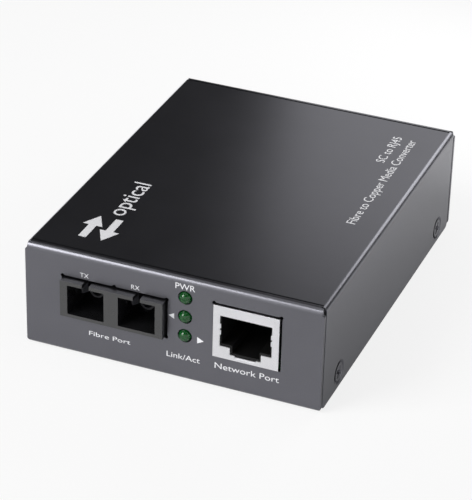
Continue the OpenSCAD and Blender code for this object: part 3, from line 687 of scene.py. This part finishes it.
class CONVERTER_OT_lamps(bpy.types.Operator):
    """Makes the three LEDs: a cast lens, and the cup and post inside it."""

    bl_idname = "converter.lamps"
    bl_label = "LEDs"

    def execute(self, context):
        epoxy = make_green_epoxy()
        metal = finish("silvered_frame", linear("#c9ccd0"), 0.25, 0.15 * MM, 0.001 * MM, metallic=1.0)
        for node in ("led_power", "led_fibre_link", "led_copper_link"):
            low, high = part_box(node)
            self.make_lens(node, low, high, epoxy)
            self.make_frame(node, low, high, metal)
        return {"FINISHED"}

    def make_lens(self, node, low, high, epoxy):
        flange = (high.x - low.x) / 2
        radius = flange - 0.35 * MM
        rim = 1.0 * MM
        middle = (low + high) / 2
        centre = Vector((middle.x, low.y + radius, middle.z))
        bpy.ops.mesh.primitive_uv_sphere_add(
            segments=40, ring_count=20, radius=radius, location=centre, rotation=(math.radians(90), 0, 0)
        )
        lens = bpy.context.active_object
        lens.name = lens.data.name = node + "_lens"
        bpy.ops.object.transform_apply(location=True, rotation=True, scale=True)
        bpy.ops.object.mode_set(mode="EDIT")
        pick(lens, lambda v: v.co.y > centre.y + 0.001 * MM, "verts")
        bpy.ops.mesh.delete(type="VERT")
        pick(lens, lambda e: e.is_boundary, "edges")
        for run, spread in ((high.y - rim - centre.y, 1.0), (0.0, flange / radius), (rim, 1.0)):
            bpy.ops.mesh.extrude_region_move(TRANSFORM_OT_translate={"value": (0, run, 0)})
            bpy.ops.transform.resize(value=(spread, 1, spread), center_override=centre)
        bpy.ops.mesh.edge_face_add()
        bpy.ops.mesh.select_all(action="SELECT")
        bpy.ops.mesh.remove_doubles(threshold=WELD)
        bpy.ops.mesh.normals_make_consistent(inside=False)
        bpy.ops.object.mode_set(mode="OBJECT")
        soften(lens, 0.06 * MM)
        seat(lens, epoxy, node=node)

    def make_frame(self, node, low, high, metal):
        middle = (low + high) / 2
        deep = high.y - 0.3 * MM
        tip = low.y + 1.7 * MM
        for word, offset, width in (("cup", -0.5 * MM, 0.42 * MM), ("post", 0.55 * MM, 0.24 * MM)):
            bpy.ops.mesh.primitive_cylinder_add(
                vertices=24,
                radius=width,
                depth=deep - tip,
                location=(middle.x + offset, (tip + deep) / 2, middle.z),
                rotation=(math.radians(90), 0, 0),
            )
            part = bpy.context.active_object
            part.name = part.data.name = f"{node}_{word}"
            bpy.ops.object.transform_apply(location=True, rotation=True, scale=True)
            bpy.ops.object.mode_set(mode="EDIT")
            pick(part, lambda f: f.normal.y < -0.9)
            bpy.ops.mesh.inset(thickness=width * 0.25)
            if word == "cup":
                bpy.ops.mesh.extrude_region_move(TRANSFORM_OT_translate={"value": (0, 0.3 * MM, 0)})
                bpy.ops.transform.resize(
                    value=(0.5, 1, 0.5), center_override=(middle.x + offset, tip, middle.z)
                )
            bpy.ops.object.mode_set(mode="OBJECT")
            soften(part, 0.03 * MM)
            seat(part, metal)


class CONVERTER_OT_rear_parts(bpy.types.Operator):
    """Makes the power inlet and the slide switch with its two moving sliders."""

    bl_idname = "converter.rear_parts"
    bl_label = "Rear connectors"

    def execute(self, context):
        ports = context.scene.converter_ports
        plastic = bpy.data.materials["moulded_polyester"]
        # Red moulded polyester with a dull sheen
        red = finish("moulded_red", linear("#a3231d"), 0.42, 0.2 * MM, 0.003 * MM, 0.08, 0.05, ior=1.55)
        # Acetal, moulded white: slightly waxy
        white = finish("acetal", linear("#e4e3de"), 0.38, 0.2 * MM, 0.002 * MM, 0.03, 0.05, ior=1.48)
        # Nickel-plated brass pin, turned: bright with fine rings
        pin = finish(
            "turned_pin", linear("#cfd0d3"), 0.22, 0.1 * MM, 0.001 * MM, 0.05, 0.06, (1, 8, 1), metallic=1.0
        )
        edge = ports.moulded_edge
        soft_node("dc_jack_body", "power_inlet_body", edge, plastic)
        soft_node("dc_jack_pin", "power_inlet_pin", ports.strip_edge, pin)
        soft_node("dip_switch_body", "slide_switch_body", ports.strip_edge, red)
        for number in (1, 2):
            soft_node(
                f"dip_slider_{number}", f"slide_switch_knob_{number}", ports.strip_edge, white,
                f"slider_{number}",
            )
        return {"FINISHED"}


class CONVERTER_OT_board(bpy.types.Operator):
    """Finishes the circuit board and everything on it that keeps its CAD shape."""

    bl_idname = "converter.board"
    bl_label = "Board and inner parts"

    def execute(self, context):
        for material, nodes in inner_finishes().values():
            for node in nodes:
                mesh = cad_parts[node].data
                mesh.materials.clear()
                mesh.materials.append(material)
        return {"FINISHED"}


class CONVERTER_OT_printing(bpy.types.Operator):
    """Prints the legends of the front panel and the top, in generic words and signs."""

    bl_idname = "converter.printing"
    bl_label = "Printed legends"

    def execute(self, context):
        settings = context.scene.converter_print
        self.ink = make_silk_ink(settings)
        self.thick = settings.ink_thickness
        self.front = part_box("base_chassis")[0].y
        self.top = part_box("top_cover")[1].z
        self.print_front(settings.small_cap)
        self.print_top()
        return {"FINISHED"}

    def on_front(self, x, z):
        """Where a front legend's middle goes: its own X runs right and its own Y runs up."""
        return Matrix.Translation((x, self.front, z)) @ Matrix.Rotation(math.radians(90), 4, "X")

    def on_top(self, x, y):
        """Where a top legend's middle goes: its own X runs to the rear and its own Y to the left."""
        return Matrix.Translation((x, y, self.top)) @ Matrix.Rotation(math.radians(90), 4, "Z")

    def finish_print(self, piece, place):
        piece.matrix_world = place
        seat(piece, self.ink)

    def word(self, name, text, place, width=None, cap=None):
        """One word or line, set to its width, the height of its capitals, or both, centred on its place."""
        bpy.ops.object.text_add()
        piece = bpy.context.active_object
        piece.name = name
        piece.data.body = text
        piece.data.extrude = self.thick / 2
        piece.data.resolution_u = 6
        focus(piece)
        bpy.ops.object.convert(target="MESH")
        piece = bpy.context.active_object
        piece.name = piece.data.name = name
        xs = [v.co.x for v in piece.data.vertices]
        span = max(xs) - min(xs)
        across = width / span if width else cap / CAPITAL
        upright = cap / CAPITAL if cap else across
        shift = Matrix.Translation((-(max(xs) + min(xs)) / 2, -CAPITAL / 2, 0))
        piece.data.transform(Matrix.Diagonal((across, upright, 1, 1)) @ shift)
        self.finish_print(piece, place)
        return piece

    def arrow_head(self, name, place, length, height, left):
        """A filled triangle pointing left or right."""
        bpy.ops.mesh.primitive_circle_add(vertices=3, radius=1, fill_type="NGON")
        piece = bpy.context.active_object
        piece.name = piece.data.name = name
        # A three-sided circle of radius 1 is 1.5 long and the root of 3 high
        turn = Matrix.Rotation(math.radians(90 if left else -90), 4, "Z")
        piece.data.transform(turn)
        piece.data.transform(Matrix.Diagonal((length / 1.5, height / math.sqrt(3), 1, 1)))
        self.thicken(piece)
        self.finish_print(piece, place)

    def thicken(self, piece):
        focus(piece)
        solid = piece.modifiers.new("Ink", "SOLIDIFY")
        solid.thickness = self.thick
        solid.offset = 0
        bpy.ops.object.modifier_apply(modifier=solid.name)

    def print_front(self, cap):
        tx, rx = (sum(corner.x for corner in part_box(node)) / 2 for node in ("tx_sleeve", "rx_sleeve"))
        port_low, port_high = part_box("sc_housing")
        above_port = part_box("transceiver_cover")[1].z + 1.5 * MM
        self.word("legend_tx", "TX", self.on_front(tx - 1.1 * MM, above_port), cap=cap)
        self.word("legend_rx", "RX", self.on_front(rx - 1.1 * MM, above_port), cap=cap)
        lamps = {
            node: sum(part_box(node), Vector()) / 2
            for node in ("led_power", "led_fibre_link", "led_copper_link")
        }
        power, fibre, copper = lamps.values()
        self.word("legend_power", "PWR", self.on_front(power.x, power.z + 2.85 * MM), 4.8 * MM, 1.3 * cap)
        self.arrow_head(
            "legend_to_fibre", self.on_front(fibre.x - 3.1 * MM, fibre.z - 0.4 * MM),
            length=1.45 * MM, height=1.5 * MM, left=True,
        )
        self.arrow_head(
            "legend_to_copper", self.on_front(copper.x + 3.6 * MM, copper.z - 0.35 * MM),
            length=1.6 * MM, height=1.7 * MM, left=False,
        )
        foot = 6.65 * MM
        self.word(
            "legend_link", "Link/Act", self.on_front(copper.x - 0.3 * MM, foot - 0.4 * MM),
            width=8.2 * MM, cap=1.2 * cap,
        )
        middle = (port_low.x + port_high.x) / 2
        self.word("legend_fibre_port", "Fibre Port", self.on_front(middle - 1.2 * MM, foot), 10.4 * MM, cap)
        jack = sum(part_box("rj45_shield"), Vector()) / 2
        self.word(
            "legend_network_port", "Network Port", self.on_front(jack.x + 0.4 * MM, foot - 0.4 * MM),
            width=15.6 * MM, cap=1.3 * cap,
        )

    def print_top(self):
        low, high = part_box("top_cover")
        left = low.x + 13.2 * MM
        front = self.front
        for name, shift, flip in (("sign_to_fibre", 2.4 * MM, False), ("sign_to_copper", -2.4 * MM, True)):
            self.broad_arrow(name, left - shift, front + 12.8 * MM, flip)
        self.word("legend_word", "optical", self.on_top(left, front + 28.2 * MM), width=16.6 * MM)
        edge = high.x
        self.word(
            "legend_line_2", "Fibre to Copper Media Converter",
            self.on_top(edge - 8.1 * MM, front + 61.6 * MM),
            width=45.6 * MM,
        )
        self.word(
            "legend_line_1", "SC to RJ45", self.on_top(edge - 11.9 * MM, front + 77.5 * MM), width=14.2 * MM
        )

    def broad_arrow(self, name, x, y, flip):
        """A bold arrow of shaft and head, one of the two in the exchange sign."""
        bpy.ops.mesh.primitive_plane_add(size=1)
        piece = bpy.context.active_object
        piece.name = piece.data.name = name
        shaft, thick, head, spread = 5.8 * MM, 1.9 * MM, 4.6 * MM, 4.9 * MM
        piece.data.transform(Matrix.Diagonal((shaft, thick, 1, 1)))
        bpy.ops.object.mode_set(mode="EDIT")
        pick(piece, lambda e: all(v.co.x > 0 for v in e.verts), "edges")
        grow = spread / thick
        bpy.ops.mesh.extrude_region_move(TRANSFORM_OT_translate={"value": (0, 0, 0)})
        bpy.ops.transform.resize(value=(1, grow, 1), center_override=(shaft / 2, 0, 0))
        bpy.ops.mesh.extrude_region_move(TRANSFORM_OT_translate={"value": (head, 0, 0)})
        bpy.ops.mesh.merge(type="CENTER")
        bpy.ops.object.mode_set(mode="OBJECT")
        piece.data.transform(Matrix.Translation((-head / 2, 0, 0)))
        if flip:
            piece.data.transform(Matrix.Rotation(math.pi, 4, "Z"))
        self.thicken(piece)
        self.finish_print(piece, self.on_top(x, y))


class CONVERTER_OT_studio(bpy.types.Operator):
    """Sets up the pale floor, the soft lamps, the surround and the camera."""

    bl_idname = "converter.studio"
    bl_label = "Studio"

    def execute(self, context):
        studio = context.scene.converter_studio
        context.scene.view_settings.view_transform = "Standard"
        self.make_floor()
        self.make_world(context.scene)
        self.lamp("key_lamp", (-0.55, -0.6, 0.68), 0.55, studio.key_power)
        self.lamp("top_lamp", (0.1, 0.05, 1.3), 1.2, studio.top_power)
        self.lamp("rear_card", (0.01, 0.155, 0.085), 0.12, studio.card_power)
        self.lamp("edge_card", (0.075, 0.135, 0.1), 0.08, studio.edge_power)
        self.make_camera(context.scene, studio)
        return {"FINISHED"}

    def lamp(self, name, place, size, power):
        light = bpy.data.lights.new(name, "AREA")
        light.shape = "SQUARE"
        light.size = size
        light.energy = power
        holder = bpy.data.objects.new(name, light)
        bpy.context.scene.collection.objects.link(holder)
        aim = Vector(bpy.context.scene.converter_studio.aim)
        holder.location = place
        holder.rotation_euler = (aim - Vector(place)).to_track_quat("-Z", "Y").to_euler()
        holder.visible_camera = False

    def make_floor(self):
        bpy.ops.mesh.primitive_circle_add(
            vertices=96, radius=2.5, fill_type="NGON", location=(0, 0, -0.05 * MM)
        )
        floor = bpy.context.active_object
        floor.name = "floor"
        made = bpy.data.materials.new("white_paper")
        made.use_nodes = True
        tree = made.node_tree
        tree.nodes.clear()
        paper = add(tree, "ShaderNodeBsdfDiffuse", {"Color": (0.98, 0.98, 0.98, 1)}).outputs[0]
        bright = add(tree, "ShaderNodeEmission", {"Color": (1, 1, 1, 1), "Strength": 1.0}).outputs[0]
        seen = add(tree, "ShaderNodeLightPath").outputs["Is Camera Ray"]
        share = add(tree, "ShaderNodeMath", {0: seen, 1: 0.8}, operation="MULTIPLY").outputs[0]
        mixed = add(tree, "ShaderNodeMixShader", {0: share, 1: paper, 2: bright}).outputs[0]
        add(tree, "ShaderNodeOutputMaterial", {"Surface": mixed})
        floor.data.materials.append(made)

    def make_world(self, scene):
        """A surround that is white low down in front and at the right, and dim above and behind."""
        scene.world = bpy.data.worlds.new("surround")
        scene.world.use_nodes = True
        tree = scene.world.node_tree
        tree.nodes.clear()
        way = add(tree, "ShaderNodeTexCoord").outputs["Generated"]
        tilt = add(tree, "ShaderNodeVectorMath", {0: way, 1: (-0.25, 0.45, 1.0)}, operation="DOT_PRODUCT")
        white, dim = (1, 1, 1, 1), (0.02, 0.02, 0.021, 1)
        colour = ramp(tree, tilt.outputs["Value"], [(0.12, white), (0.32, dim)])
        glow = add(tree, "ShaderNodeBackground", {"Color": colour, "Strength": 1.0}).outputs[0]
        add(tree, "ShaderNodeOutputWorld", {"Surface": glow})

    def make_camera(self, scene, studio):
        around, up = studio.azimuth, studio.elevation
        back = Vector((math.sin(around) * math.cos(up), -math.cos(around) * math.cos(up), math.sin(up)))
        right = Vector((math.cos(around), math.sin(around), 0))
        above = back.cross(right)
        cos_roll, sin_roll = math.cos(studio.roll), math.sin(studio.roll)
        across = cos_roll * right + sin_roll * above
        upright = cos_roll * above - sin_roll * right
        camera = bpy.data.objects.new("camera", bpy.data.cameras.new("camera"))
        scene.collection.objects.link(camera)
        camera.data.lens = studio.lens
        camera.data.sensor_width = 36
        camera.data.clip_start = 0.01
        camera.data.clip_end = 20
        place = Vector(studio.aim) + studio.distance * back
        turn = Matrix((across, upright, back)).transposed()
        camera.matrix_world = Matrix.Translation(place) @ turn.to_4x4()
        scene.camera = camera


# ------------------------------------------------------------------------------------ panel


OPERATORS = (
    CONVERTER_OT_studio,
    CONVERTER_OT_case,
    CONVERTER_OT_case_screws,
    CONVERTER_OT_fibre_port,
    CONVERTER_OT_network_jack,
    CONVERTER_OT_lamps,
    CONVERTER_OT_rear_parts,
    CONVERTER_OT_board,
    CONVERTER_OT_printing,
)
SETTINGS = {
    "converter_case": ConverterCase,
    "converter_ports": ConverterPorts,
    "converter_print": ConverterPrint,
    "converter_studio": ConverterStudio,
}


class CONVERTER_PT_panel(bpy.types.Panel):
    """Lists the pieces of the converter and their settings."""

    bl_idname = "CONVERTER_PT_panel"
    bl_label = "Fibre media converter"
    bl_space_type = "VIEW_3D"
    bl_region_type = "UI"
    bl_category = "Converter"

    def draw(self, context):
        for name, group in SETTINGS.items():
            box = self.layout.box()
            for field in group.__annotations__:
                box.prop(getattr(context.scene, name), field)
        for operator in OPERATORS:
            self.layout.operator(operator.bl_idname)


CLASSES = (*SETTINGS.values(), *OPERATORS, CONVERTER_PT_panel)


def register():
    for entry in CLASSES:
        bpy.utils.register_class(entry)
    for name, group in SETTINGS.items():
        setattr(bpy.types.Scene, name, bpy.props.PointerProperty(type=group))


def unregister():
    for name in SETTINGS:
        delattr(bpy.types.Scene, name)
    for entry in reversed(CLASSES):
        bpy.utils.unregister_class(entry)


def main():
    register()
    for operator in OPERATORS:
        group, action = operator.bl_idname.split(".")
        getattr(getattr(bpy.ops, group), action)()


if __name__ == "__main__":
    main()
